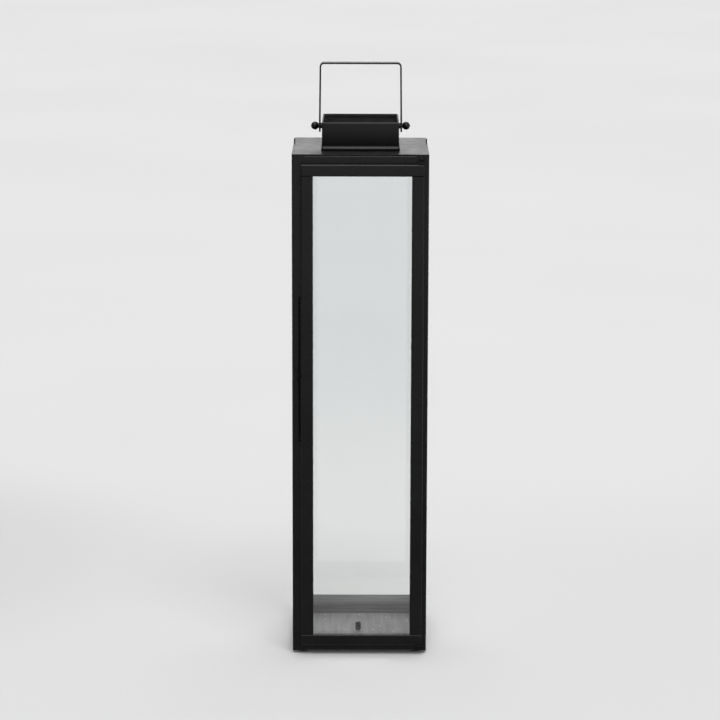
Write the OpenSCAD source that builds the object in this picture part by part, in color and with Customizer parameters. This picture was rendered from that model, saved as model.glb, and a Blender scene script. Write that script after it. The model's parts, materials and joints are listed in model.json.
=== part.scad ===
// Tall square hurricane candle lantern: a black sheet-metal case on four pads, three fixed glass
// panes, a glazed door hung on two pivot pins, a square chimney and a folding strap bail.
// Sizes are in millimetres. The origin is on the ground under the middle of the lantern's outline.
// -Y is the door side and +Z is up.

/* [Case] */
// Width and depth of the square case
case_w = 200; // [190:1:240]
// Height of the roof's top face above the ground
case_top = 753.8; // [500:0.2:900]
// Height of the pads under the case
foot_h = 4; // [3:0.5:6]
// Thickness of the folded steel sheet
sheet_t = 1.2; // [1:0.1:1.5]
// Thickness of the roof sheet
roof_t = 1.5; // [1.2:0.1:2]
// Width of each leg of the corner posts and rails
leg_w = 18; // [17:0.5:20]
// Thickness of all the glass
glass_t = 3; // [2:0.5:3]

/* [Door] */
// Case width left bare on the latch side of the door
door_reveal_left = 13; // [12:0.5:13.5]
// Case width left bare on the hinge side of the door
door_reveal_right = 7; // [7:0.5:8]
// Bare height from the roof's top face down to the door
door_reveal_top = 13.7; // [12.5:0.1:14.5]
// Height of the door's lower edge above the ground
door_bottom = 15.6; // [15.2:0.1:16.5]
// Depth of the door frame, front to back
door_depth = 10; // [9.5:0.1:11]
// Gap between the case front and the back of the door frame
door_gap = 1.2; // [1.2:0.1:1.5]
// Width of the two upright door stiles
stile_w = 18; // [17:0.1:18.5]
// Height of the top door rail
door_top_rail_h = 17.5; // [16:0.5:19]
// Height of the bottom door rail
door_bottom_rail_h = 16; // [15:0.5:18]
// Radius of the door frame's long edges
door_edge_r = 2; // [1.6:0.1:2.2]

/* [Chimney and bail] */
// Outer width of the square chimney
chimney_w = 113; // [104:1:114]
// Height of the chimney above the roof
chimney_h = 41.5; // [38:0.5:50]
// Diameter of the round vent hole in the roof
vent_d = 84; // [60:1:90]
// Height of the bail's pivots above the roof
pivot_h = 30.1; // [29:0.1:32]
// Height of the bail's top face above the roof
bail_h = 124.2; // [110:0.2:125]
// Width of the bail's flat strap
strap_w = 16; // [12:1:16]
// Thickness of the bail's flat strap
strap_t = 2.4; // [2:0.1:2.6]
// Half the bail's outer width across its top corners
bail_top_half = 60.6; // [59.6:0.1:61.2]
// Radius of the ball nuts outside the bail
ball_r = 5.9; // [5:0.1:6.5]

/* [Latch and candle stud] */
// Height of the pull knob above the ground
knob_z = 426; // [420:1:432]
// Radius of the pull knob
knob_r = 3.4; // [3:0.1:3.6]
// Length of the bow spring beside the door
spring_len = 218; // [180:1:240]
// How far the bow spring's back stands off the post at its middle
spring_rise = 2.4; // [1.5:0.1:2.6]
// Height of the candle stud
stud_h = 12; // [10:1:20]
// Radius of the candle stud at its thickest
stud_r = 4.2; // [3.5:0.1:6]
// Distance of the candle stud from the middle, towards the hinge side
stud_x = -2; // [-4:0.5:4]

/* [Hidden] */
$fn = 72;

paint = [0.10, 0.10, 0.105];
glass = [0.80, 0.88, 0.88, 0.35];
rubber = [0.06, 0.06, 0.06];
bare_steel = [0.55, 0.55, 0.56];

// Amount added to make a cut run clear through a face
cut = 1;
half_w = case_w / 2;
inner_w = half_w - sheet_t;
bend_r = 2.5;
post_bend_r = 1.6;
rail_len = case_w - 2 * leg_w;
// The door stands proud of the case, so the case is moved back to centre the whole outline
case_shift = (door_gap + door_depth) / 2;

roof_bottom = case_top - roof_t;
floor_bottom = foot_h + sheet_t;
floor_top = floor_bottom + sheet_t;

// Small tabs on the side rails pass up through notches in the roof's edges
tab_len = 7;
tab_near_back = 46;
tab_rise = 4.4;
tab_head_t = 1.9;

// The panes stop short of each other at the corners and have a little play behind the posts
pane_corner_gap = 4.8;
pane_play = 0.2;
pane_half = half_w - pane_corner_gap;
pane_inset = sheet_t + pane_play;
pane_inner = half_w - pane_inset - glass_t;
pane_top = roof_bottom - sheet_t - 0.5;
angle_leg = 10;
angle_t = 0.8;

// Folded strips that hold the feet of the fixed panes
clip_len = 170;
clip_lean_z = 20.6;
clip_top_z = 34.6;

foot_inset = 16;
foot_at = half_w - foot_inset;
foot_r = 7.5;
rivet_r = 1.6;
rivet_head_r = 3.2;

chimney_inner = chimney_w / 2 - sheet_t;
hem_h = 5;
chimney_mouth = chimney_w - 4 * sheet_t;
flare_out = 1.3;
flare_r = 10.3;
flare_top = 7;

bolt_r = 2.5;
bail_hole_r = 2.58;
pivot_z = case_top + pivot_h;
spacer_out = chimney_w / 2 + 2.5;
leg_in = spacer_out + 0.15;
leg_out = leg_in + strap_t;
ball_neck = leg_out + 0.2;
ball_x = leg_out + ball_r;
bail_leg_end = 9.5;
bail_corner_r = 6.5;

door_x0 = -half_w + door_reveal_left;
door_x1 = half_w - door_reveal_right;
door_w = door_x1 - door_x0;
door_top = case_top - door_reveal_top;
door_back = -half_w - door_gap;
door_front = door_back - door_depth;
opening_x0 = door_x0 + stile_w;
opening_x1 = door_x1 - stile_w;
opening_z0 = door_bottom + door_bottom_rail_h;
opening_z1 = door_top - door_top_rail_h;
pane_lap = 2.4;
screw_off = 2.8;
door_pane_x0 = opening_x0 - pane_lap;
door_pane_x1 = opening_x1 + pane_lap;
door_clip_h = 10;
door_clip_z = [110, 290, 465, 640];
screw_r = 1;

// The pivot pins stand this far in from the door's hinge edge and from its back
hinge_inset = 4;
hinge_depth = 5.3;
hinge_x = door_x1 - hinge_inset;
hinge_y = door_back - hinge_depth;
pin_r = 2;
pin_head_r = 2.6;
lug_x0 = hinge_x - 5;
lug_x1 = hinge_x + 6;
lug_t = 2;
lug_tab_h = 7;
lug_gap = 0.7;
top_lug_z = door_top + lug_gap;
bottom_lug_z = door_bottom - lug_gap;
washer_t = 0.6;

knob_y = door_front + 3.7;
knob_back_x = door_x0 - 0.6;
knob_thick = 2.8;

// Catch plate on the post behind the knob, with a rivet near each end: each rivet is [x, z, head radius]
plate_x0 = -half_w + 2.8;
plate_w = 5;
plate_h = 42;
plate_mid_z = knob_z - 6.5;
catch_x = plate_x0 + 2;
catch_reach = 15;
catch_rivets = [[catch_x, plate_mid_z + catch_reach, 1.5], [catch_x, plate_mid_z - catch_reach, 1.5]];

// Bow spring between the plate and the door's edge, riveted through its flat feet
spring_mid_z = knob_z + 8.5;
spring_x = door_x0 - 2;
spring_w = 3.2;
spring_t = 0.8;
spring_foot = 12;
spring_end = spring_len / 2 - spring_foot / 2;
spring_rivets = [[spring_x, spring_mid_z + spring_end, 1.3], [spring_x, spring_mid_z - spring_end, 1.3]];
small_rivet_r = 0.9;

// ---------------------------------------------------------------- placing helpers

// Puts the case's own middle at its place in the part's frame
module in_case() {
  translate([0, case_shift, 0]) children();
}

// Turns a piece drawn for the front to another side: 0 front, 90 right, 180 back, 270 left
module on_side(angle) {
  in_case() rotate([0, 0, angle]) children();
}

// Stands a section along X, with the section's X inward from the case front and its Y up
module along_front(length) {
  translate([-length / 2, -half_w, 0]) rotate([90, 0, 90]) linear_extrude(length) children();
}

// Lays a cylinder along +X from the point given
module rod_x(x, y, z, r, length) {
  translate([x, y, z]) rotate([0, 90, 0]) cylinder(r = r, h = length);
}

// Lays a cylinder along +Y from the point given
module rod_y(x, y, z, r, length) {
  translate([x, y, z]) rotate([-90, 0, 0]) cylinder(r = r, h = length);
}

// ---------------------------------------------------------------- sections

// Equal angle with its rounded outer bend at the origin and its legs along +X and +Y
module angle_section(leg, t, r) {
  difference() {
    union() {
      translate([r, 0]) square([leg - r, leg]);
      translate([0, r]) square([leg, leg - r]);
      translate([r, r]) circle(r);
    }
    translate([t, t]) square(leg);
  }
}

// Rectangle with its lower left corner at the origin and all corners rounded
module rounded_rect(w, h, r) {
  translate([r, 0]) square([w - 2 * r, h]);
  translate([0, r]) square([w, h - 2 * r]);
  for (x = [r, w - r]) {
    for (y = [r, h - r]) {
      translate([x, y]) circle(r);
    }
  }
}

// Sheet tube: a rounded rectangle with the sheet's wall all round
module tube_section(w, h, r) {
  difference() {
    rounded_rect(w, h, r);
    translate([sheet_t, sheet_t]) rounded_rect(w - 2 * sheet_t, h - 2 * sheet_t, r - sheet_t);
  }
}

// ---------------------------------------------------------------- case

module roof_plate() {
  color(paint) in_case() difference() {
    translate([-half_w, -half_w, roof_bottom]) linear_extrude(roof_t) rounded_rect(case_w, case_w, 1);
    translate([0, 0, roof_bottom - cut]) cylinder(d = vent_d, h = roof_t + 2 * cut);
    for (side = [-1, 1]) {
      translate([side * half_w, half_w - tab_near_back - tab_len / 2, case_top])
        cube([2 * sheet_t + 0.2, tab_len + 0.2, 4 * roof_t], center = true);
    }
  }
}

module top_rail_bar() {
  translate([0, 0, roof_bottom]) along_front(rail_len) mirror([0, 1]) angle_section(leg_w, sheet_t, bend_r);
}

module top_rail_front() {
  color(paint) on_side(0) top_rail_bar();
}

module top_rail_back() {
  color(paint) on_side(180) top_rail_bar();
}

// Side rails carry the roof tab, hammered thicker above the roof so that it can't slip back;
// towards_back is +1 where the bar's own +X end is at the back
module top_side_rail(angle, towards_back) {
  tab_x = towards_back * (half_w - tab_near_back - tab_len / 2);
  color(paint) on_side(angle) union() {
    top_rail_bar();
    translate([tab_x - tab_len / 2, -half_w, roof_bottom - bend_r])
      cube([tab_len, sheet_t, bend_r + roof_t + tab_rise]);
    translate([tab_x - tab_len / 2, -half_w, case_top]) cube([tab_len, tab_head_t, tab_rise]);
  }
}

module top_rail_left() {
  top_side_rail(270, -1);
}

module top_rail_right() {
  top_side_rail(90, 1);
}

module post_bar() {
  translate([-half_w, -half_w, foot_h])
    linear_extrude(roof_bottom - foot_h) angle_section(leg_w, sheet_t, post_bend_r);
}

module post_front_left() {
  color(paint) in_case() difference() {
    post_bar();
    for (rivet = concat(catch_rivets, spring_rivets)) {
      rod_y(rivet[0], -half_w - cut, rivet[1], small_rivet_r, sheet_t + 2 * cut);
    }
  }
}

module post_front_right() {
  color(paint) in_case() difference() {
    rotate([0, 0, 90]) post_bar();
    for (z = [top_lug_z + lug_t + lug_tab_h / 2, bottom_lug_z - lug_t - lug_tab_h / 2]) {
      rod_y(hinge_x, -half_w - cut, z, rivet_r, sheet_t + 2 * cut);
    }
  }
}

module post_back_right() {
  color(paint) on_side(180) post_bar();
}

module post_back_left() {
  color(paint) on_side(270) post_bar();
}

module base_rail(angle) {
  color(paint) on_side(angle)
    translate([0, 0, foot_h]) along_front(rail_len) angle_section(leg_w, sheet_t, bend_r);
}

module floor_plate() {
  size = 2 * (inner_w - pane_play);
  color(paint) in_case() difference() {
    translate([-size / 2, -size / 2, floor_bottom]) cube([size, size, sheet_t]);
    translate([stud_x, 0, floor_bottom - cut]) cylinder(r = 2, h = sheet_t + 2 * cut);
    for (x = [-foot_at, foot_at]) {
      for (y = [-foot_at, foot_at]) {
        translate([x, y, floor_bottom - cut]) cylinder(r = rivet_r, h = sheet_t + 2 * cut);
      }
    }
  }
}

// ---------------------------------------------------------------- feet

module foot(side_x, side_y) {
  chamfer = 1;
  color(rubber) in_case() translate([side_x * foot_at, side_y * foot_at, 0]) difference() {
    union() {
      cylinder(r1 = foot_r - chamfer, r2 = foot_r, h = chamfer);
      translate([0, 0, chamfer]) cylinder(r = foot_r, h = foot_h - chamfer);
    }
    translate([0, 0, -cut]) cylinder(r = rivet_r, h = foot_h + 2 * cut);
    translate([0, 0, -cut]) cylinder(r = rivet_head_r + 0.4, h = cut + 1.4);
  }
}

module foot_rivets() {
  color(bare_steel) in_case() for (x = [-foot_at, foot_at]) {
    for (y = [-foot_at, foot_at]) {
      translate([x, y, 0.6]) cylinder(r = rivet_head_r, h = 0.8);
      translate([x, y, 1.4]) cylinder(r = rivet_r, h = floor_top - 1.4);
      translate([x, y, floor_top]) cylinder(r1 = rivet_head_r, r2 = 1.8, h = 1.2);
    }
  }
}

// ---------------------------------------------------------------- fixed glass

module fixed_pane(angle) {
  color(glass) on_side(angle)
    translate([-pane_half, -half_w + pane_inset, floor_top])
      cube([2 * pane_half, glass_t, pane_top - floor_top]);
}

// Thin upright angle in a corner, holding the panes' upright edges. At the front corners its
// front leg reaches out to the post, because no fixed pane stands there.
module pane_angle(side_x, front) {
  corner_y = front ? -inner_w : pane_inner;
  leg_y = front ? -1 : 1;
  reach = front ? inner_w - pane_inner : 0;
  color(paint) in_case() translate([side_x * pane_inner, corner_y, floor_top])
    linear_extrude(roof_bottom - floor_top)
      mirror([side_x > 0 ? 1 : 0, 0]) mirror([0, leg_y > 0 ? 1 : 0]) union() {
        square([angle_leg, angle_t]);
        square([angle_t, angle_leg + reach]);
      }
}

// Folded strip on the floor whose upper half leans onto the foot of a pane
module pane_clip(angle) {
  pane_x = half_w - pane_inner;
  color(paint) on_side(angle) along_front(clip_len) polygon([
    [pane_x + 0.6, floor_top],
    [pane_x + 6, floor_top],
    [pane_x + 6, clip_lean_z],
    [pane_x + 1, clip_top_z],
    [pane_x + 0.15, clip_top_z],
    [pane_x + 5.2, clip_lean_z - 0.2],
    [pane_x + 5.2, floor_top + angle_t],
    [pane_x + 0.6, floor_top + angle_t]
  ]);
}

// ---------------------------------------------------------------- chimney

// Outline across the chimney: rounded top edges, flared foot
module chimney_outline() {
  half = chimney_w / 2;
  foot_half = half + flare_out;
  difference() {
    translate([-foot_half, 0]) square([2 * foot_half, flare_top]);
    for (side = [-1, 1]) {
      translate([side * (half + flare_r), flare_top]) circle(flare_r);
    }
  }
  translate([-half, flare_top - cut]) square([chimney_w, chimney_h - flare_top - bend_r + cut]);
  translate([-half + bend_r, chimney_h - 2 * bend_r]) square([chimney_w - 2 * bend_r, 2 * bend_r]);
  for (side = [-1, 1]) {
    translate([side * (half - bend_r), chimney_h - bend_r]) circle(bend_r);
  }
}

module chimney_block() {
  length = chimney_w + 4 * flare_out;
  intersection() {
    rotate([90, 0, 0]) translate([0, 0, -length / 2]) linear_extrude(length) chimney_outline();
    rotate([90, 0, 90]) translate([0, 0, -length / 2]) linear_extrude(length) chimney_outline();
  }
}

// Upright square block of width w about the chimney's axis, from height z0 to z1 above the roof
module chimney_core(w, z0, z1) {
  translate([-w / 2, -w / 2, case_top + z0]) cube([w, w, z1 - z0]);
}

// The sheet is folded inward at the top and flat down on itself, so that the rim is two sheets thick
module chimney() {
  color(paint) in_case() difference() {
    translate([0, 0, case_top]) chimney_block();
    chimney_core(2 * chimney_inner, -cut, chimney_h - hem_h);
    chimney_core(chimney_mouth, 0, chimney_h + cut);
    rod_x(-chimney_w, 0, pivot_z, bolt_r, 2 * chimney_w);
  }
}

// ---------------------------------------------------------------- bail and its pivots

module pivot_bolt() {
  head_h = 3;
  color(bare_steel) in_case() {
    translate([chimney_inner - head_h, 0, pivot_z])
      rotate([0, 90, 0]) cylinder(r = 4.6, h = head_h, $fn = 6);
    rod_x(chimney_inner, 0, pivot_z, bolt_r, ball_x - chimney_inner);
  }
}

module pivot_spacer() {
  color(paint) in_case() difference() {
    rod_x(chimney_w / 2, 0, pivot_z, 4.2, spacer_out - chimney_w / 2);
    rod_x(chimney_w / 2 - cut, 0, pivot_z, bolt_r, spacer_out);
  }
}

module ball_nut() {
  color(paint) in_case() difference() {
    union() {
      rod_x(ball_neck, 0, pivot_z, 3.6, ball_x - ball_neck);
      intersection() {
        translate([ball_x, 0, pivot_z]) sphere(ball_r);
        rod_x(ball_neck, 0, pivot_z, 2 * ball_r, 2 * ball_r);
      }
    }
    rod_x(ball_neck - cut, 0, pivot_z, bolt_r, ball_x - ball_neck + cut);
  }
}

module pivot_bolt_right() {
  pivot_bolt();
}

module pivot_bolt_left() {
  mirror([1, 0, 0]) pivot_bolt();
}

module pivot_spacer_right() {
  pivot_spacer();
}

module pivot_spacer_left() {
  mirror([1, 0, 0]) pivot_spacer();
}

module ball_nut_right() {
  ball_nut();
}

module ball_nut_left() {
  mirror([1, 0, 0]) ball_nut();
}

// Points round a bend, from angle a0 to a1 about the centre given
function bend_points(cx, cz, r, a0, a1, steps) =
  [for (i = [0:steps]) [cx + r * cos(a0 + (a1 - a0) * i / steps), cz + r * sin(a0 + (a1 - a0) * i / steps)]];

// One edge of the bent strap, from the left leg's foot over the top to the right leg's foot
function strap_edge(inset) =
  let (
    foot_half = leg_out - inset,
    top_half = bail_top_half - inset,
    low = pivot_z - bail_leg_end,
    straight = pivot_z + 7,
    top = case_top + bail_h - inset,
    r = bail_corner_r - inset
  )
  concat(
    [[-foot_half, low], [-foot_half, straight]],
    bend_points(-top_half + r, top - r, r, 180, 90, 10),
    bend_points(top_half - r, top - r, r, 90, 0, 10),
    [[foot_half, straight], [foot_half, low]]
  );

function reversed(points) = [for (i = [len(points) - 1:-1:0]) points[i]];

module bail_handle() {
  end_r = strap_w / 2;
  tall = bail_h + bail_leg_end;
  color(paint) in_case() difference() {
    intersection() {
      translate([0, strap_w / 2, 0]) rotate([90, 0, 0]) linear_extrude(strap_w)
        polygon(concat(strap_edge(0), reversed(strap_edge(strap_t))));
      union() {
        translate([-case_w / 2, -strap_w / 2, pivot_z - bail_leg_end + end_r]) cube([case_w, strap_w, tall]);
        rod_x(-case_w / 2, 0, pivot_z - bail_leg_end + end_r, end_r, case_w);
      }
    }
    rod_x(-case_w / 2, 0, pivot_z, bail_hole_r, case_w);
  }
}

// ---------------------------------------------------------------- door catch

// Edge of the bow spring, offset off the post: flat feet and a smooth arch between them
function spring_edge(off) =
  let (arch = spring_len / 2 - spring_foot)
  concat(
    [[off, -spring_len / 2]],
    [for (i = [-12:12]) [off + spring_rise * pow(cos(90 * i / 12), 2), arch * i / 12]],
    [[off, spring_len / 2]]
  );

module latch_spring() {
  color(paint) in_case() difference() {
    translate([spring_x - spring_w / 2, -half_w, spring_mid_z])
      rotate([90, 0, 90]) linear_extrude(spring_w)
        mirror([1, 0]) polygon(concat(spring_edge(0), reversed(spring_edge(spring_t))));
    for (rivet = spring_rivets) {
      rod_y(rivet[0], -half_w - 2 * cut, rivet[1], small_rivet_r, 4 * cut);
    }
  }
}

// Plate riveted to the post behind the knob, with a low lip beside the bow spring
module latch_plate() {
  plate_t = 1;
  lip_h = 24;
  lip_out = 4.5;
  color(paint) in_case() difference() {
    union() {
      translate([plate_x0, -half_w - plate_t, plate_mid_z - plate_h / 2]) cube([plate_w, plate_t, plate_h]);
      translate([plate_x0 + plate_w - plate_t, -half_w - lip_out, knob_z - lip_h / 2])
        cube([plate_t, lip_out, lip_h]);
    }
    for (rivet = catch_rivets) {
      rod_y(rivet[0], -half_w - 2 * cut, rivet[1], small_rivet_r, 4 * cut);
    }
  }
}

// Dome-headed rivet through a piece of thickness t on the case front, its tail flush inside
module front_rivet(x, z, head_r, shank_r, t, head_h) {
  translate([x, -half_w - t, z]) rotate([90, 0, 0]) cylinder(r1 = head_r, r2 = 0.55 * head_r, h = head_h);
  rod_y(x, -half_w - t, z, shank_r, t + sheet_t);
}

module latch_rivets() {
  color(paint) in_case() {
    for (rivet = catch_rivets) {
      front_rivet(rivet[0], rivet[1], rivet[2], small_rivet_r, 1, 0.7);
    }
    for (rivet = spring_rivets) {
      front_rivet(rivet[0], rivet[1], rivet[2], small_rivet_r, spring_t, 0.6);
    }
  }
}

// ---------------------------------------------------------------- hinge

// Lug with its tongue over the door's end and its tab against the post; up is +1 or -1
module hinge_lug(z, up) {
  tab_t = 1.5;
  color(paint) in_case() difference() {
    translate([0, 0, z]) mirror([0, 0, up > 0 ? 0 : 1]) union() {
      translate([lug_x0, hinge_y - 4.5, 0]) cube([lug_x1 - lug_x0, -half_w - hinge_y + 4.5, lug_t]);
      translate([lug_x0, -half_w - tab_t, 0]) cube([lug_x1 - lug_x0, tab_t, lug_t + lug_tab_h]);
    }
    translate([hinge_x, hinge_y, z - 2 * lug_t]) cylinder(r = pin_r + 0.08, h = 4 * lug_t);
    rod_y(hinge_x, -half_w - 2 * tab_t, z + up * (lug_t + lug_tab_h / 2), rivet_r, 4 * tab_t);
  }
}

module hinge_lug_top() {
  hinge_lug(top_lug_z, 1);
}

module hinge_lug_bottom() {
  hinge_lug(bottom_lug_z, -1);
}

module hinge_rivets() {
  color(paint) in_case() {
    for (z = [top_lug_z + lug_t + lug_tab_h / 2, bottom_lug_z - lug_t - lug_tab_h / 2]) {
      front_rivet(hinge_x, z, 2.6, rivet_r, 1.5, 1);
    }
  }
}

module hinge_washer() {
  color(paint) in_case() translate([hinge_x, hinge_y, bottom_lug_z]) difference() {
    cylinder(r = 3.8, h = washer_t);
    translate([0, 0, -cut]) cylinder(r = pin_r + 0.08, h = washer_t + 2 * cut);
  }
}

// ---------------------------------------------------------------- candle stud

module candle_stud() {
  color(paint) in_case() translate([stud_x, 0, floor_top]) difference() {
    rotate_extrude() polygon([
      [0, 0],
      [stud_r - 0.5, 0],
      [stud_r, 3],
      [stud_r, 6],
      [stud_r - 0.5, stud_h - 0.6],
      [stud_r - 1.1, stud_h],
      [0, stud_h]
    ]);
    translate([0, 0, -cut]) cylinder(r = 2, h = stud_h - 3 + cut);
  }
}

module stud_screw() {
  color(bare_steel) in_case() translate([stud_x, 0, 0]) {
    translate([0, 0, floor_bottom - 1.6]) cylinder(r = 3.6, h = 1.6);
    translate([0, 0, floor_bottom]) cylinder(r = 2, h = sheet_t + stud_h - 4);
  }
}

// ---------------------------------------------------------------- door

// Door frame bar of height h, open along its back: the front edges and the ends are rounded
module door_rail_bar(z, h) {
  slot = h - 9;
  difference() {
    intersection() {
      translate([door_x0, door_front, z])
        rotate([90, 0, 90]) linear_extrude(door_w) rounded_rect(door_depth, h, door_edge_r);
      translate([door_x0, door_front, z]) linear_extrude(h) rounded_rect(door_w, door_depth, door_edge_r);
    }
    translate([door_x0 + sheet_t, door_front + sheet_t, z + sheet_t])
      cube([door_w - 2 * sheet_t, door_depth - 2 * sheet_t, h - 2 * sheet_t]);
    translate([door_x0 + stile_w, door_back - 2 * sheet_t, z + (h - slot) / 2])
      cube([door_w - 2 * stile_w, 4 * sheet_t, slot]);
  }
}

module door_rail_top() {
  color(paint) in_case() difference() {
    door_rail_bar(opening_z1, door_top_rail_h);
    translate([hinge_x, hinge_y, door_top - 2 * sheet_t]) cylinder(r = pin_r, h = 4 * sheet_t);
  }
}

module door_rail_bottom() {
  color(paint) in_case() difference() {
    door_rail_bar(door_bottom, door_bottom_rail_h);
    translate([hinge_x, hinge_y, door_bottom - 2 * sheet_t]) cylinder(r = pin_r, h = 4 * sheet_t);
  }
}

module door_stile(x) {
  difference() {
    translate([x, door_front, opening_z0])
      linear_extrude(opening_z1 - opening_z0) tube_section(stile_w, door_depth, door_edge_r);
    clip_screws(cut);
  }
}

module door_stile_left() {
  color(paint) in_case() difference() {
    door_stile(door_x0);
    rod_x(door_x0 - cut, knob_y, knob_z, screw_r, 2 * cut + sheet_t);
  }
}

module door_stile_right() {
  color(paint) in_case() door_stile(opening_x1);
}

module door_pane() {
  color(glass) in_case()
    translate([door_pane_x0, door_back, opening_z0 - pane_lap])
      cube([door_pane_x1 - door_pane_x0, glass_t, opening_z1 - opening_z0 + 2 * pane_lap]);
}

// Bent tab over the pane's edge: foot on the stile's back, finger on the glass; out is -1 or +1
module door_clip(edge_x, out) {
  t = 0.8;
  translate([edge_x, door_back, 0]) mirror([out > 0 ? 0 : 1, 0, 0]) linear_extrude(door_clip_h) polygon([
    [0.4, 0],
    [6, 0],
    [6, t],
    [0.4 + t, t],
    [0.4 + t, glass_t + t],
    [-2.5, glass_t + t],
    [-2.5, glass_t],
    [0.4, glass_t]
  ]);
}

module door_clips() {
  color(paint) in_case() difference() {
    for (z = door_clip_z) {
      translate([0, 0, z]) door_clip(door_pane_x0, -1);
      translate([0, 0, z]) door_clip(door_pane_x1, 1);
    }
    clip_screws(cut);
  }
}

// Shanks of the clip screws; extra lengthens them so that they cut their own holes
module clip_screws(extra) {
  for (z = door_clip_z) {
    for (x = [door_pane_x0 - screw_off, door_pane_x1 + screw_off]) {
      rod_y(x, door_back - sheet_t - 0.8 - extra, z + door_clip_h / 2, screw_r, sheet_t + 1.6 + 2 * extra);
    }
  }
}

module door_clip_screws() {
  color(bare_steel) in_case() {
    clip_screws(0);
    for (z = door_clip_z) {
      for (x = [door_pane_x0 - screw_off, door_pane_x1 + screw_off]) {
        rod_y(x, door_back + 0.8, z + door_clip_h / 2, 1.5, 0.8);
      }
    }
  }
}

// Pivot pin through the door's end and the lug, with its head inside the door rail
module door_pin(z, up) {
  head_h = 1.2;
  color(paint) in_case() translate([hinge_x, hinge_y, z - up * sheet_t])
    mirror([0, 0, up > 0 ? 0 : 1]) {
      translate([0, 0, -head_h]) cylinder(r = pin_head_r, h = head_h);
      cylinder(r = pin_r, h = sheet_t + lug_gap + lug_t + 0.6);
    }
}

module door_pin_top() {
  door_pin(door_top, 1);
}

module door_pin_bottom() {
  door_pin(door_bottom, -1);
}

// Round pull knob on a stem that passes through the side of the left stile
module door_knob() {
  edge = 0.6;
  color(paint) in_case() {
    rod_x(knob_back_x - knob_thick + edge, knob_y, knob_z, knob_r, knob_thick - 2 * edge);
    translate([knob_back_x - knob_thick, knob_y, knob_z])
      rotate([0, 90, 0]) cylinder(r1 = knob_r - edge, r2 = knob_r, h = edge);
    translate([knob_back_x - edge, knob_y, knob_z])
      rotate([0, 90, 0]) cylinder(r1 = knob_r, r2 = knob_r - edge, h = edge);
    rod_x(knob_back_x, knob_y, knob_z, screw_r, 0.6 + sheet_t + 2.2);
  }
}

module knob_nut() {
  color(bare_steel) in_case() difference() {
    translate([door_x0 + sheet_t, knob_y, knob_z]) rotate([0, 90, 0]) cylinder(r = 2.2, h = 1.6, $fn = 6);
    rod_x(door_x0, knob_y, knob_z, screw_r, 4);
  }
}

// ---------------------------------------------------------------- nodes

roof_plate();
top_rail_front();
top_rail_back();
top_rail_left();
top_rail_right();
post_front_left();
post_front_right();
post_back_left();
post_back_right();
base_rail(0);  // base_rail_front
base_rail(180);  // base_rail_back
base_rail(270);  // base_rail_left
base_rail(90);  // base_rail_right
floor_plate();
foot(-1, -1);  // foot_front_left
foot(1, -1);  // foot_front_right
foot(-1, 1);  // foot_back_left
foot(1, 1);  // foot_back_right
foot_rivets();
fixed_pane(180);  // pane_back
fixed_pane(270);  // pane_left
fixed_pane(90);  // pane_right
pane_angle(-1, true);  // pane_angle_front_left
pane_angle(1, true);  // pane_angle_front_right
pane_angle(-1, false);  // pane_angle_back_left
pane_angle(1, false);  // pane_angle_back_right
pane_clip(180);  // pane_clip_back
pane_clip(270);  // pane_clip_left
pane_clip(90);  // pane_clip_right
chimney();
pivot_bolt_left();
pivot_bolt_right();
pivot_spacer_left();
pivot_spacer_right();
ball_nut_left();
ball_nut_right();
latch_spring();
latch_plate();
latch_rivets();
hinge_lug_top();
hinge_lug_bottom();
hinge_rivets();
hinge_washer();
candle_stud();
stud_screw();
door_rail_top();
door_rail_bottom();
door_stile_left();
door_stile_right();
door_pane();
door_clips();
door_clip_screws();
door_pin_top();
door_pin_bottom();
door_knob();
knob_nut();
bail_handle();
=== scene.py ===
"""Looks of the hurricane candle lantern: materials, finished meshes, stage, lights and camera.

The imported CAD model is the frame. Everything here is in metres, in the part's own frame:
-Y is the door side, +Z is up and the lantern stands on z = 0.
"""

import json
import math

import bmesh
import bpy
from mathutils import Matrix, Vector


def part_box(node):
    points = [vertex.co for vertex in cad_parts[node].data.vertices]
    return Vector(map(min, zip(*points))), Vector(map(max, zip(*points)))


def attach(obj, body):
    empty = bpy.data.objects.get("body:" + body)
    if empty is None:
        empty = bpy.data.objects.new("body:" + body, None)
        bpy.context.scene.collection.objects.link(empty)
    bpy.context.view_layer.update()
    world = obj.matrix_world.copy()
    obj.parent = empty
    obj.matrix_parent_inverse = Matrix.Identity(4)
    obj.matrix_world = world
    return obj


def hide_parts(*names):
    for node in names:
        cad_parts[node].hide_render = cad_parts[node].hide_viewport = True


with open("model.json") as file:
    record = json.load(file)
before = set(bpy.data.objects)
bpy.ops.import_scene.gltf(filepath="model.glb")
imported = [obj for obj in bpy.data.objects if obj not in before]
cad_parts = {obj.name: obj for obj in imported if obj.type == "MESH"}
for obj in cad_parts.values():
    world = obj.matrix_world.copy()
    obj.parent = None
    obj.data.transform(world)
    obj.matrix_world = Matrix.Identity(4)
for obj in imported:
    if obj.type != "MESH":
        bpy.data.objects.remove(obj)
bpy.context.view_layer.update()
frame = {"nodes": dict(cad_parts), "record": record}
nodes = frame["nodes"]
MM = 0.001


# ---------------------------------------------------------------- node building

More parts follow.
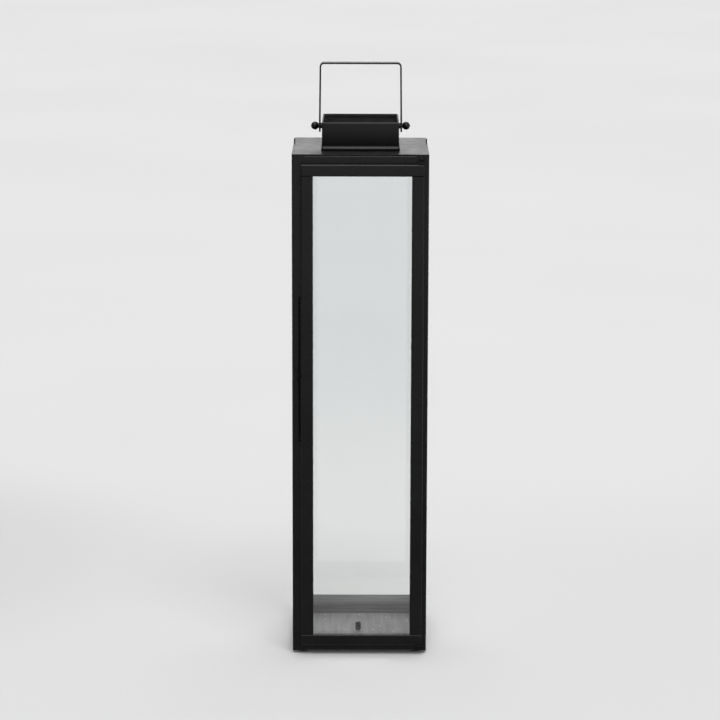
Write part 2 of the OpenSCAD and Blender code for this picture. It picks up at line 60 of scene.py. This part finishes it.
class Tree:
    """A material's node tree with short calls for the nodes that these materials use."""

    def __init__(self, name):
        self.material = bpy.data.materials.new(name)
        self.material.use_nodes = True
        self.nodes = self.material.node_tree.nodes
        self.links = self.material.node_tree.links
        self.nodes.clear()
        self.output = self.nodes.new("ShaderNodeOutputMaterial")
        self.coordinates = self.nodes.new("ShaderNodeTexCoord").outputs["Object"]

    def put(self, socket, value):
        """Links an output to the socket, or sets the socket to a plain value."""
        if isinstance(value, bpy.types.NodeSocket):
            self.links.new(value, socket)
        else:
            socket.default_value = value

    def maths(self, operation, a, b=0.0, clamp=False):
        node = self.nodes.new("ShaderNodeMath")
        node.operation = operation
        node.use_clamp = clamp
        for socket, value in zip(node.inputs, (a, b)):
            self.put(socket, value)
        return node.outputs[0]

    def span(self, value, low, high, to_low=0.0, to_high=1.0):
        """Maps low..high to to_low..to_high with soft ends, clamped."""
        node = self.nodes.new("ShaderNodeMapRange")
        node.interpolation_type = "SMOOTHSTEP"
        for socket, v in zip(node.inputs, (value, low, high, to_low, to_high)):
            self.put(socket, v)
        return node.outputs["Result"]

    def stretched(self, scale):
        """The object coordinates times a scale along each axis."""
        node = self.nodes.new("ShaderNodeMapping")
        self.put(node.inputs["Vector"], self.coordinates)
        self.put(node.inputs["Scale"], scale)
        return node.outputs["Vector"]

    def noise(self, scale, detail=3.0, roughness=0.55, vector=None):
        """Noise about 0.5, with scale in cells per metre."""
        node = self.nodes.new("ShaderNodeTexNoise")
        self.put(node.inputs["Vector"], self.coordinates if vector is None else vector)
        self.put(node.inputs["Scale"], scale)
        self.put(node.inputs["Detail"], detail)
        self.put(node.inputs["Roughness"], roughness)
        return node.outputs["Fac"]

    def cells(self, scale, flat=False):
        """Distance to the nearest of scattered points, and a random colour for each point."""
        node = self.nodes.new("ShaderNodeTexVoronoi")
        node.voronoi_dimensions = "2D" if flat else "3D"
        self.put(node.inputs["Vector"], self.coordinates)
        self.put(node.inputs["Scale"], scale)
        return node.outputs["Distance"], node.outputs["Color"]

    def blend(self, factor, a, b):
        """Colour a where the factor is 0 and colour b where it is 1."""
        node = self.nodes.new("ShaderNodeMix")
        node.data_type = "RGBA"
        colour_inputs = [s for s in node.inputs if s.type == "RGBA"]
        self.put(node.inputs[0], factor)
        self.put(colour_inputs[0], a)
        self.put(colour_inputs[1], b)
        return [s for s in node.outputs if s.type == "RGBA"][0]

    def bump(self, height, distance, normal=None):
        """Bump from a height of 0..1, which stands for a real height of distance metres."""
        node = self.nodes.new("ShaderNodeBump")
        self.put(node.inputs["Height"], height)
        self.put(node.inputs["Distance"], distance)
        self.put(node.inputs["Strength"], 1.0)
        if normal is not None:
            self.put(node.inputs["Normal"], normal)
        return node.outputs["Normal"]

    def principled(self, **sockets):
        node = self.nodes.new("ShaderNodeBsdfPrincipled")
        for name, value in sockets.items():
            self.put(node.inputs[name.replace("_", " ").title().replace("Ior", "IOR")], value)
        return node

    def place(self):
        """The object coordinates as separate X, Y and Z."""
        node = self.nodes.new("ShaderNodeSeparateXYZ")
        self.links.new(self.coordinates, node.inputs[0])
        return node.outputs

    def finish(self, shader):
        self.links.new(shader, self.output.inputs["Surface"])
        return self.material


def grey(value, blue=1.0):
    return (value, value, value * blue, 1.0)


# ---------------------------------------------------------------- materials

PAINT_GLOSS = 0.27
BARE_GREY, DUST_GREY, CRUMB_GREY = 0.055, 0.9, 0.95
# The last two factors thicken the dust film towards a clip's foot, so it is lighter there: painted light
# against the shade at the foot.
UPRIGHT_DUST, WIPED_THIN, WIPED_THICK, FOOT_FILM_PAINTED_LIGHT, TOP_FILM_PAINTED_LIGHT = 0.38, 0.80, 1.12, 1.75, 0.90
# Heights for the chimney's painted gloss: painted shade as it fades to the foot, and a painted highlight
# band on the flare.
CHIMNEY_FOOT_Z, CHIMNEY_RIM_Z = 0.753, 0.795
FLARE_DARK_Z, FLARE_LOW_Z, FLARE_HIGH_Z, FLARE_END_Z = 0.7560, 0.7580, 0.7590, 0.7615


def satin_black(
    name,
    dust=0.0,
    wear=0.0,
    rough=0.22,
    peel_mm=0.007,
    chimney_painted_gloss=False,
    streaks=None,
    dust_and_painted_light_heights=None,
):
    """Black powder coat: fine orange peel and an uneven sheen.

    dust is how grey the film on faces that look up is, wear is how much of the edge is rubbed, and
    rough is about the roughness where the coat is smoothest. peel_mm is the height of the orange
    peel. chimney_painted_gloss paints shade and a highlight into the gloss: it fades towards the
    chimney's foot as painted shade and comes back on its flare as a painted highlight.
    streaks is how many wiping marks per metre the dust film has along X, Y and Z.
    dust_and_painted_light_heights is a pair of heights: there is dust film on upright faces too, and
    it thins from the lower height to the upper, so the foot is painted lighter against its shade.
    """
    t = Tree(name)
    patches = t.noise(scale=9.0, detail=4.0)
    cloud = t.noise(scale=70.0, detail=3.0)
    peel = t.noise(scale=620.0, detail=2.0)
    grain = t.noise(scale=2600.0, detail=2.0)
    grain_height = 0.0015 * MM
    sheen = t.span(patches, 0.3, 0.7, rough + 0.02, rough + 0.08)
    sheen = t.maths("ADD", sheen, t.span(cloud, 0.25, 0.75, -0.03, 0.03))
    colour = t.blend(t.span(patches, 0.35, 0.7), grey(0.0022, 1.05), grey(0.0042, 1.03))
    if wear > 0.0:
        scuffs = t.noise(scale=150.0, detail=5.0, roughness=0.65)
        rubbed = t.span(scuffs, 1.0 - wear, 1.08 - wear)
        colour = t.blend(rubbed, colour, grey(BARE_GREY))
        sheen = t.maths("SUBTRACT", sheen, t.maths("MULTIPLY", rubbed, 0.06))
    if dust > 0.0:
        upward = t.nodes.new("ShaderNodeSeparateXYZ")
        t.links.new(t.nodes.new("ShaderNodeNewGeometry").outputs["Normal"], upward.inputs[0])
        lying = t.span(upward.outputs["Z"], 0.05, 0.32)
        if dust_and_painted_light_heights:
            lying = t.maths("MAXIMUM", lying, UPRIGHT_DUST)
        drifts = t.noise(scale=16.0, detail=5.0)
        film = t.maths("MULTIPLY", lying, t.span(drifts, 0.25, 0.75, 0.75, 1.0))
        if streaks:
            wiping = t.noise(scale=1.0, detail=2.0, vector=t.stretched(streaks))
            film = t.maths("MULTIPLY", film, t.span(wiping, 0.3, 0.7, WIPED_THIN, WIPED_THICK))
        # Painted light: the film is thicker towards the foot, lightening the shade there.
        if dust_and_painted_light_heights:
            z = t.place()["Z"]
            film = t.maths("MULTIPLY", film, t.span(z, dust_and_painted_light_heights[0], dust_and_painted_light_heights[1], FOOT_FILM_PAINTED_LIGHT, TOP_FILM_PAINTED_LIGHT))
        colour = t.blend(t.maths("MULTIPLY", film, dust), colour, grey(DUST_GREY, 0.99))
        near, tint = t.cells(95.0, flat=True)
        lot = t.nodes.new("ShaderNodeSeparateColor")
        t.put(lot.inputs[0], tint)
        chosen = t.maths("MULTIPLY", t.span(lot.outputs[0], 0.935, 0.945), lying)
        speck = t.maths("MULTIPLY", chosen, t.span(near, 0.08, 0.13, 1.0, 0.0))
        colour = t.blend(speck, colour, grey(CRUMB_GREY, 0.98))
        sheen = t.maths("ADD", sheen, t.maths("MULTIPLY", speck, 0.5), clamp=True)
    normal = t.bump(peel, peel_mm * MM)
    normal = t.bump(grain, grain_height, normal)
    shader = t.principled(base_color=colour, roughness=sheen, normal=normal)
    shader.inputs["Specular IOR Level"].default_value = PAINT_GLOSS
    # Painted shade and painted highlight: the gloss falls towards the chimney's foot and rises again in a
    # narrow band on the flare.
    if chimney_painted_gloss:
        z = t.place()["Z"]
        wall = t.span(z, CHIMNEY_FOOT_Z, CHIMNEY_RIM_Z, 0.03, 0.25)
        above = t.span(z, FLARE_HIGH_Z, FLARE_END_Z, 0.65, 0.0)
        below = t.span(z, FLARE_DARK_Z, FLARE_LOW_Z, 0.02, 0.65)
        flare = t.maths("MINIMUM", above, below)
        t.put(shader.inputs["Specular IOR Level"], t.maths("MAXIMUM", wall, flare))
    return t.finish(shader.outputs[0])


def matt_black(name, dark, light, gloss):
    """Dull black with a cloudy tone: blued spring steel, small fittings, the chimney's inside.

    dark and light are the two tones, and gloss is the level of its mirror part.
    """
    t = Tree(name)
    cloud = t.noise(scale=85.0, detail=5.0, roughness=0.6)
    grain = t.noise(scale=1500.0, detail=2.0)
    shader = t.principled(
        base_color=t.blend(t.span(cloud, 0.3, 0.7), grey(dark), grey(light, 0.98)),
        roughness=t.span(cloud, 0.3, 0.7, 0.50, 0.66),
        normal=t.bump(grain, 0.008 * MM),
    )
    shader.inputs["Specular IOR Level"].default_value = gloss
    return t.finish(shader.outputs[0])


# The low tint paints light into the glass near the ground; the high tint is the body higher up.
GLASS_LOW_PAINTED_LIGHT_TINT, GLASS_HIGH_TINT = (0.985, 0.992, 0.987, 1.0), (0.912, 0.930, 0.932, 1.0)
GLASS_LAMP_TINT = (0.985, 0.990, 0.988, 1.0)


def clear_glass(name):
    """Float glass: faint green body with painted light, lighter towards the ground, faint smears, open to
    lamp light.
    """
    t = Tree(name)
    smear = t.noise(scale=1.0, detail=4.0, vector=t.stretched((26.0, 26.0, 9.0)))
    wiped = t.noise(scale=1.0, detail=2.0, vector=t.stretched((5.0, 5.0, 3.0)))
    film = t.maths("MULTIPLY", t.span(smear, 0.52, 0.72), t.span(wiped, 0.45, 0.7))
    haze = t.maths("MULTIPLY", film, 0.035, clamp=True)
    # Painted light: the glass body is lighter towards the ground.
    height = t.span(t.place()["Z"], 0.08, 0.55)
    body = t.blend(height, GLASS_LOW_PAINTED_LIGHT_TINT, GLASS_HIGH_TINT)
    shader = t.principled(base_color=body, roughness=haze)
    shader.inputs["Transmission Weight"].default_value = 1.0
    shader.inputs["IOR"].default_value = 1.5
    clear = t.nodes.new("ShaderNodeBsdfTransparent")
    clear.inputs["Color"].default_value = GLASS_LAMP_TINT
    rays = t.nodes.new("ShaderNodeLightPath")
    mixed = t.nodes.new("ShaderNodeMixShader")
    t.put(mixed.inputs[0], rays.outputs["Is Shadow Ray"])
    t.links.new(shader.outputs[0], mixed.inputs[1])
    t.links.new(clear.outputs[0], mixed.inputs[2])
    return t.finish(mixed.outputs[0])


def soft_rubber(name):
    """Moulded rubber pad: matt, with a dusty bloom and a fine grain."""
    t = Tree(name)
    bloom = t.noise(scale=120.0, detail=4.0)
    grain = t.noise(scale=2400.0, detail=2.0)
    colour = t.blend(t.span(bloom, 0.4, 0.75), grey(0.012), grey(0.028, 0.96))
    shader = t.principled(
        base_color=colour,
        roughness=t.span(bloom, 0.3, 0.7, 0.62, 0.8),
        normal=t.bump(grain, 0.02 * MM),
    )
    return t.finish(shader.outputs[0])


def zinc_plate(name):
    """Dull zinc-plated steel: grey spangle and a cloudy, slightly uneven sheen."""
    t = Tree(name)
    spangle = t.cells(480.0)[0]
    rubbed = t.noise(scale=300.0, detail=4.0)
    colour = t.blend(t.span(spangle, 0.1, 0.7), grey(0.50, 1.02), grey(0.38, 1.03))
    shader = t.principled(
        base_color=colour,
        metallic=1.0,
        roughness=t.span(rubbed, 0.3, 0.7, 0.26, 0.46),
        normal=t.bump(rubbed, 0.01 * MM),
    )
    return t.finish(shader.outputs[0])


def pale_floor(name):
    """Seamless studio paper: pale and matt, with painted shade towards the front and a painted shadow at
    the far left.
    """
    t = Tree(name)
    fibre = t.noise(scale=900.0, detail=2.0)
    tone = t.noise(scale=0.6, detail=2.0)
    # Painted shade: the paper is greyer towards the front.
    near = t.span(t.place()["Y"], 0.35, 1.25, 0.952, 1.0)
    apart = t.nodes.new("ShaderNodeVectorMath")
    apart.operation = "DISTANCE"
    t.links.new(t.coordinates, apart.inputs[0])
    # Painted shadow: a greyer patch round a point at the far left.
    painted_shadow_centre = (-1.0, 0.50, 0.0)
    apart.inputs[1].default_value = painted_shadow_centre
    painted_shadow_left = t.span(apart.outputs["Value"], 0.30, 0.85, 0.93, 1.0)
    shade = t.span(t.maths("MULTIPLY", near, painted_shadow_left), 0.875, 1.0)
    colour = t.blend(t.span(tone, 0.3, 0.7), grey(0.79), grey(0.81))
    colour = t.blend(shade, grey(0.70), colour)
    shader = t.principled(base_color=colour, roughness=0.9, normal=t.bump(fibre, 0.01 * MM))
    shader.inputs["Specular IOR Level"].default_value = 0.1
    return t.finish(shader.outputs[0])


SLOT_MATERIALS = {
    "black_paint": satin_black("satin_black"),
    "glass": clear_glass("float_glass"),
    "rubber_pad": soft_rubber("pad_rubber"),
    "zinc_steel": zinc_plate("zinc_plated_steel"),
}
clip_foot, clip_top = (corner[2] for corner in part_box("pane_clip_back"))
floor_black = satin_black("satin_black_dusty_floor", dust=0.26, rough=0.32, streaks=(150.0, 9.0, 9.0))
# The clips have a real dust film, which is thickened towards the foot as painted light.
clip_black = satin_black(
    "satin_black_dusty_clip_painted_light",
    dust=0.25,
    rough=0.32,
    streaks=(14.0, 14.0, 450.0),
    dust_and_painted_light_heights=(clip_foot, clip_top),
)
worn_black = satin_black("satin_black_worn_edge", wear=0.30)
spring_black = matt_black("blued_spring_steel", 0.0008, 0.0016, 0.08)
hardware_black = matt_black("hardware_black", 0.002, 0.004, 0.18)
sooty_black = matt_black("sooty_inside", 0.030, 0.045, 0.15)
# The chimney's coat carries painted shade towards its foot and a painted highlight on its flare.
chimney_painted_gloss_black = satin_black("satin_black_chimney_painted_gloss", rough=0.38, chimney_painted_gloss=True)
roof_black = satin_black("satin_black_roof", rough=0.24, peel_mm=0.0045)


# ---------------------------------------------------------------- carried-over CAD nodes

def soften(obj, width, edge_slot=-1, sharp_degrees=35.0):
    """Breaks the sharp edges by a small radius, which takes the finish in edge_slot."""
    weld = obj.modifiers.new("join_seams", "WELD")
    weld.merge_threshold = 0.002 * MM
    plain = obj.modifiers.new("plain_faces", "DECIMATE")
    plain.decimate_type = "DISSOLVE"
    plain.angle_limit = math.radians(0.4)
    bevel = obj.modifiers.new("broken_edges", "BEVEL")
    bevel.width = width
    bevel.segments = 2
    bevel.limit_method = "ANGLE"
    bevel.angle_limit = math.radians(sharp_degrees)
    bevel.harden_normals = False
    bevel.material = edge_slot
    normals = obj.modifiers.new("even_normals", "WEIGHTED_NORMAL")
    normals.keep_sharp = True


EDGE_BREAK, STRAP_EDGE_BREAK, BARE_EDGE_BREAK = 0.25 * MM, 0.35 * MM, 0.2 * MM


def dress_cad_nodes():
    """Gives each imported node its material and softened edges."""
    slots = {s["node"]: s["material_slot"] for s in frame["record"]["subparts"]}
    for name, obj in nodes.items():
        slot = slots[name]
        material = SLOT_MATERIALS[slot]
        if name == "floor_plate":
            material = floor_black
        if name.startswith("pane_clip"):
            material = clip_black
        if name == "roof_plate":
            material = roof_black
        if name == "latch_spring":
            material = spring_black
        if name in ("hinge_lug_top", "hinge_lug_bottom", "hinge_washer"):
            material = hardware_black
        for material_slot in obj.material_slots:
            material_slot.material = material
        obj.data.attributes.remove(obj.data.attributes["custom_normal"])
        obj.data.shade_smooth()
        obj.data.set_sharp_from_angle(angle=math.radians(30))
        if name == "bail_handle":
            soften(obj, STRAP_EDGE_BREAK)
        elif slot == "black_paint":
            obj.data.materials.append(worn_black)
            soften(obj, EDGE_BREAK, edge_slot=1)
        elif slot != "glass":
            soften(obj, BARE_EDGE_BREAK)


dress_cad_nodes()


# ---------------------------------------------------------------- finished meshes

def add_piece(name, bm, materials, body, slot, *stands_for):
    """Makes a shown piece from a bmesh, smooth but for its sharp edges."""
    bmesh.ops.recalc_face_normals(bm, faces=bm.faces)
    mesh = bpy.data.meshes.new(name)
    bm.to_mesh(mesh)
    bm.free()
    mesh.shade_smooth()
    mesh.set_sharp_from_angle(angle=math.radians(32))
    for material in materials:
        mesh.materials.append(material)
    piece = bpy.data.objects.new(name, mesh)
    bpy.context.scene.collection.objects.link(piece)
    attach(piece, body)
    if stands_for:
        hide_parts(*stands_for)


def arc(cx, cy, r, start, end, steps):
    """Points on an arc in degrees, with both ends."""
    turns = [math.radians(start + (end - start) * i / steps) for i in range(steps + 1)]
    return [(cx + r * math.cos(a), cy + r * math.sin(a)) for a in turns]


def turn(bm, profile, origin, axis, steps=48):
    """Adds a turned solid: profile is (radius, distance along the axis), from axis to axis."""
    place = Matrix.Translation(origin) @ Vector(axis).to_track_quat("Z", "Y").to_matrix().to_4x4()
    rings = []
    for radius, along in profile:
        if radius < 1e-7:
            rings.append([bm.verts.new(place @ Vector((0.0, 0.0, along)))])
        else:
            angles = [2.0 * math.pi * i / steps for i in range(steps)]
            rings.append([
                bm.verts.new(place @ Vector((radius * math.cos(a), radius * math.sin(a), along)))
                for a in angles
            ])
    for low, high in zip(rings, rings[1:]):
        for i in range(steps):
            k = (i + 1) % steps
            corners = [low[i % len(low)], low[k % len(low)], high[k % len(high)], high[i % len(high)]]
            unique = list(dict.fromkeys(corners))
            if len(unique) > 2:
                bm.faces.new(unique)


def square_ring(bm, centre, half, corner_r, z, steps=5):
    """A ring of vertices round a square with rounded corners."""
    inner = half - corner_r
    points = []
    for quarter, (sx, sy) in enumerate(((1, 1), (-1, 1), (-1, -1), (1, -1))):
        points += arc(sx * inner, sy * inner, corner_r, 90 * quarter, 90 * quarter + 90, steps)
    return [bm.verts.new((centre.x + x, centre.y + y, z)) for x, y in points]


def chimney_sheet():
    """The chimney as bent sheet: round corners, flared foot, rolled rim and a flat hem inside."""
    low, high = (Vector(v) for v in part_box("chimney"))
    centre = (low + high) / 2
    flare, flare_r, flare_top = 1.3 * MM, 10.3 * MM, 7.0 * MM
    sheet, rim_r, hem_h, corner_r = 1.2 * MM, 2.5 * MM, 5.0 * MM, 2.0 * MM
    half = (high.x - low.x) / 2 - flare
    flare_low = flare_top - math.sqrt(flare_r ** 2 - (flare_r - flare) ** 2)
    bottom, top = low.z, high.z
    profile = [(half + flare, bottom), (half + flare, bottom + flare_low)]
    for i in range(1, 7):
        drop = (flare_top - flare_low) * (1 - i / 6)
        out = flare_r - math.sqrt(flare_r ** 2 - drop ** 2)
        profile.append((half + out, bottom + flare_top - drop))
    profile += arc(half - rim_r, top - rim_r, rim_r, 0, 84, 7)
    profile += [(half - 2 * sheet, top - 0.4 * MM), (half - 2 * sheet, top - hem_h + 0.3 * MM)]
    profile += [(half - 1.7 * sheet, top - hem_h), (half - sheet, top - hem_h + 0.2 * MM)]
    inside_start = len(profile) - 1
    profile.append((half - sheet, bottom))
    bm = bmesh.new()
    least_r = 0.25 * MM
    rings = [square_ring(bm, centre, h, max(corner_r + h - half, least_r), z) for h, z in profile]
    count = len(rings[0])
    for index, (ring, following) in enumerate(zip(rings, rings[1:] + rings[:1])):
        for i in range(count):
            k = (i + 1) % count
            face = bm.faces.new((ring[i], ring[k], following[k], following[i]))
            face.material_index = 1 if inside_start <= index < len(rings) - 1 else 0
    add_piece("chimney_sheet", bm, [chimney_painted_gloss_black, sooty_black], "case", "black_paint", "chimney")


def pull_knob():
    """Turned knob with rounded edges and its stem through the stile."""
    low, high = (Vector(v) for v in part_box("door_knob"))
    radius = (high.z - low.z) / 2
    centre = (low + high) / 2
    thick, edge, stem = 2.8 * MM, 0.9 * MM, 1.0 * MM
    profile = [(0.0, 0.0), (radius * 0.35, 0.05 * MM)]
    profile += [(radius - edge + x, edge + y) for x, y in arc(0, 0, edge, -90, 0, 5)]
    profile += [(radius - edge + x, thick - edge + y) for x, y in arc(0, 0, edge, 0, 90, 5)]
    length = high.x - low.x
    profile += [(stem * 1.5, thick), (stem, thick + 0.3 * MM), (stem, length), (0.0, length)]
    bm = bmesh.new()
    turn(bm, profile, (low.x, centre.y, centre.z), (1, 0, 0))
    add_piece("pull_knob", bm, [spring_black], "door", "black_paint", "door_knob")


def rubber_pads():
    """Moulded pads with a round foot edge, a grip groove and a countersunk rivet hole."""
    for name in sorted(n for n in nodes if n.startswith("foot_") and n != "foot_rivets"):
        low, high = (Vector(v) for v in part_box(name))
        centre = (low + high) / 2
        r, h = (high.x - low.x) / 2, high.z - low.z
        sink_r, sink_h, hole_r, round_r = 3.6 * MM, 1.4 * MM, 1.7 * MM, 0.9 * MM
        profile = [(sink_r, sink_h), (sink_r, 0.35 * MM), (sink_r + 0.35 * MM, 0.0)]
        profile += [(r - round_r + x, round_r + y) for x, y in arc(0, 0, round_r, -90, 0, 5)]
        profile += [(r, h * 0.5), (r - 0.35 * MM, h * 0.56), (r - 0.35 * MM, h * 0.66), (r, h * 0.72)]
        profile += [(r, h - 0.3 * MM), (r - 0.3 * MM, h), (hole_r, h), (hole_r, sink_h), (sink_r, sink_h)]
        bm = bmesh.new()
        turn(bm, profile, (centre.x, centre.y, low.z), (0, 0, 1), steps=56)
        bmesh.ops.remove_doubles(bm, verts=bm.verts, dist=1e-7)
        add_piece("pad_" + name[5:], bm, [SLOT_MATERIALS["rubber_pad"]], "case", "rubber_pad", name)


def threaded_stud():
    """Candle stud: a barrel with fine turned rings, a necked foot and a rounded top."""
    low, high = (Vector(v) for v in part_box("candle_stud"))
    centre = (low + high) / 2
    r, h = (high.x - low.x) / 2, high.z - low.z
    pitch, depth, neck = 1.2 * MM, 0.25 * MM, 0.8 * MM
    neck_h, ring_start, plain_h, top_r = 1.6 * MM, 2.0 * MM, 3.6 * MM, 0.9 * MM
    profile = [(0.0, 0.0), (r - neck, 0.0), (r - neck, neck_h), (r - 0.2 * MM, ring_start)]
    rings = int((h - plain_h) / pitch)
    for i in range(rings):
        z = ring_start + i * pitch
        profile += [(r, z + 0.3 * pitch), (r, z + 0.6 * pitch)]
        profile += [(r - depth, z + 0.8 * pitch), (r - depth, z + pitch)]
    profile += [(r - depth - top_r + x, h - top_r + y) for x, y in arc(0, 0, top_r, 0, 90, 5)]
    profile.append((0.0, h))
    bm = bmesh.new()
    turn(bm, profile, (centre.x, centre.y, low.z), (0, 0, 1), steps=40)
    add_piece("threaded_stud", bm, [SLOT_MATERIALS["black_paint"]], "case", "black_paint", "candle_stud")


# Shank radius over head radius
SHANK_TO_HEAD = {"hinge_rivets": 0.60, "latch_rivets": 0.62}


def dome_rivets(name, node, body, slot, material, outward):
    """Domed heads and shanks for each solid of a CAD rivet node; the heads face outward."""
    bm = bmesh.new()
    for low, high in solid_boxes(nodes[node]):
        centre = (low + high) / 2
        size = high - low
        axis = Vector(outward)
        across = size.x if axis.x == 0.0 else size.z
        length = abs(size.dot(axis))
        head_r, shank_r = across / 2, SHANK_TO_HEAD[node] * across / 2
        head_h = min(0.42 * head_r, 0.5 * length)
        dome_h = 0.8 * head_h
        root = centre - axis * (length / 2)
        profile = [(0.0, 0.0), (shank_r, 0.0), (shank_r, length - head_h), (head_r, length - head_h)]
        profile += [(head_r * x, length - dome_h + dome_h * y) for x, y in arc(0, 0, 1, 0, 90, 6)]
        profile[-1] = (0.0, length)
        turn(bm, profile, root, outward, steps=28)
    add_piece(name, bm, [material], body, slot, node)


def solid_boxes(obj):
    """The box of each separate solid in a CAD node, by joining faces that share a place."""
    mesh = obj.data
    parent = {}

    def find(key):
        while parent.setdefault(key, key) != key:
            key = parent[key]
        return key

    keys = [tuple(round(c, 5) for c in v.co) for v in mesh.vertices]
    for polygon in mesh.polygons:
        corners = [keys[i] for i in polygon.vertices]
        for other in corners[1:]:
            parent[find(other)] = find(corners[0])
    groups = {}
    for key in keys:
        groups.setdefault(find(key), []).append(Vector(key))
    boxes = []
    for root in sorted(groups):
        points = groups[root]
        low = Vector([min(p[i] for p in points) for i in range(3)])
        high = Vector([max(p[i] for p in points) for i in range(3)])
        boxes.append((low, high))
    return boxes


chimney_sheet()
dome_rivets("hinge_rivet_domes", "hinge_rivets", "case", "black_paint", hardware_black, (0, -1, 0))
dome_rivets("latch_rivet_domes", "latch_rivets", "case", "black_paint", hardware_black, (0, -1, 0))
pull_knob()
rubber_pads()
threaded_stud()


# ---------------------------------------------------------------- stage, lights and camera

def make_floor():
    half = 40.0
    mesh = bpy.data.meshes.new("floor")
    corners = [(-half, -half, 0), (half, -half, 0), (half, half, 0), (-half, half, 0)]
    mesh.from_pydata(corners, [], [(0, 1, 2, 3)])
    floor = bpy.data.objects.new("floor", mesh)
    bpy.context.scene.collection.objects.link(floor)
    mesh.materials.append(pale_floor("studio_paper"))


def aim(obj, direction):
    obj.rotation_euler = Vector(direction).to_track_quat("-Z", "Y").to_euler()


def make_world():
    """A pale band of wall all round the horizon under a dimmer ceiling."""
    wall, ceiling = 0.80, 0.34
    world = bpy.data.worlds.new("pale_room")
    bpy.context.scene.world = world
    world.use_nodes = True
    tree = world.node_tree
    direction = tree.nodes.new("ShaderNodeTexCoord").outputs["Generated"]
    height = tree.nodes.new("ShaderNodeSeparateXYZ")
    tree.links.new(direction, height.inputs[0])
    band = tree.nodes.new("ShaderNodeMapRange")
    band.interpolation_type = "SMOOTHSTEP"
    tree.links.new(height.outputs["Z"], band.inputs["Value"])
    band.inputs["From Min"].default_value = 0.30
    band.inputs["From Max"].default_value = 0.60
    band.inputs["To Min"].default_value = wall
    band.inputs["To Max"].default_value = ceiling
    tree.nodes["Background"].inputs["Color"].default_value = (1.0, 1.0, 1.0, 1.0)
    tree.links.new(band.outputs["Result"], tree.nodes["Background"].inputs["Strength"])


def soft_lamp(name, direction, strength, degrees):
    """A wide soft lamp that shines along the direction given."""
    lamp = bpy.data.lights.new(name, "SUN")
    lamp.energy = strength
    lamp.angle = math.radians(degrees)
    lamp_object = bpy.data.objects.new(name, lamp)
    bpy.context.scene.collection.objects.link(lamp_object)
    aim(lamp_object, direction)


def reflected_card(name, centre, size, facing, brightness):
    """A soft-edged studio card that only shows in reflections, as a painted reflection: black paints dark
    reflections, white paints highlights, and neither lights anything.
    """
    half_wide, half_high = size[0] / 2, size[1] / 2
    mesh = bpy.data.meshes.new(name)
    corners = [(x * half_wide, y * half_high, 0) for x, y in ((-1, -1), (1, -1), (1, 1), (-1, 1))]
    mesh.from_pydata(corners, [], [(0, 1, 2, 3)])
    card = bpy.data.objects.new(name, mesh)
    bpy.context.scene.collection.objects.link(card)
    card.location = centre
    aim(card, facing)
    t = Tree(name)
    place = t.place()
    soft_edge = 0.35
    inside_x = t.maths("SUBTRACT", half_wide, t.maths("ABSOLUTE", place["X"]))
    inside_y = t.maths("SUBTRACT", half_high, t.maths("ABSOLUTE", place["Y"]))
    cover = t.maths("MULTIPLY", t.span(inside_x, 0.0, soft_edge), t.span(inside_y, 0.0, soft_edge))
    glow = t.nodes.new("ShaderNodeEmission")
    glow.inputs["Strength"].default_value = brightness
    card_shader = t.nodes.new("ShaderNodeMixShader")
    t.put(card_shader.inputs[0], cover)
    t.links.new(t.nodes.new("ShaderNodeBsdfTransparent").outputs[0], card_shader.inputs[1])
    t.links.new(glow.outputs[0], card_shader.inputs[2])
    mesh.materials.append(t.finish(card_shader.outputs[0]))
    for ray in ("camera", "diffuse", "transmission", "shadow", "volume_scatter"):
        setattr(card, "visible_" + ray, False)


def make_lights():
    """Key lamp high in front, a weaker one behind, and cards that only show in reflections."""
    make_world()
    soft_lamp("key", (-0.12, 0.42, -0.95), 1.30, 30.0)
    soft_lamp("back", (-0.05, -0.45, -0.90), 0.66, 40.0)
    forward, backward, upward = (0.0, -1.0, 0.0), (0.0, 1.0, 0.0), (0.0, 0.0, 1.0)
    reflected_card("black_card_back_left", (-1.30, 1.0, 0.6), (1.9, 1.3), forward, 0.0)
    reflected_card("black_card_back_right", (1.30, 1.0, 0.6), (1.9, 1.3), forward, 0.0)
    reflected_card("black_card_front_left", (-1.35, -0.95, 0.6), (1.8, 1.3), backward, 0.0)
    reflected_card("black_card_left", (-2.25, 0.0, 0.6), (2.0, 1.3), (1.0, 0.0, 0.0), 0.12)
    reflected_card("white_card_front_right", (1.35, -0.95, 0.6), (1.8, 1.3), backward, 1.4)
    # The two floor-level cards paint a darker floor into reflections only: painted shade in the reflected
    # floor in front of the lantern.
    reflected_card("grey_card_floor", (0.0, -1.75, 0.002), (3.0, 2.7), upward, 0.38)
    reflected_card("dark_card_foot", (0.0, -0.30, 0.004), (3.0, 1.3), upward, 0.36)
    reflected_card("white_card_front", (0.0, -4.2, 3.7), (3.5, 3.4), (0.0, 1.0, -0.75), 3.0)
    reflected_card("white_card_back", (0.0, 6.0, 1.6), (6.0, 2.0), forward, 1.10)
    reflected_card("white_card_top", (0.0, -0.4, 2.8), (3.0, 2.4), (0.0, 0.0, -1.0), 2.4)


def make_camera():
    """Long lens above the lantern's top, looking a little down on the door side."""
    look_down, roll_angle = math.radians(11.5), math.radians(0.13)
    data = bpy.data.cameras.new("camera")
    data.lens = 142.0
    data.sensor_width = 36.0
    data.clip_end = 100.0
    camera = bpy.data.objects.new("camera", data)
    bpy.context.scene.collection.objects.link(camera)
    camera.location = (0.0, -4.1914, 1.283)
    roll = Matrix.Rotation(roll_angle, 4, "Z")
    camera.matrix_world = (
        Matrix.Translation(camera.location)
        @ Matrix.Rotation(math.radians(90.0) - look_down, 4, "X")
        @ roll
    )
    bpy.context.scene.camera = camera


make_floor()
make_lights()
make_camera()
bpy.context.scene.view_settings.view_transform = "Standard"
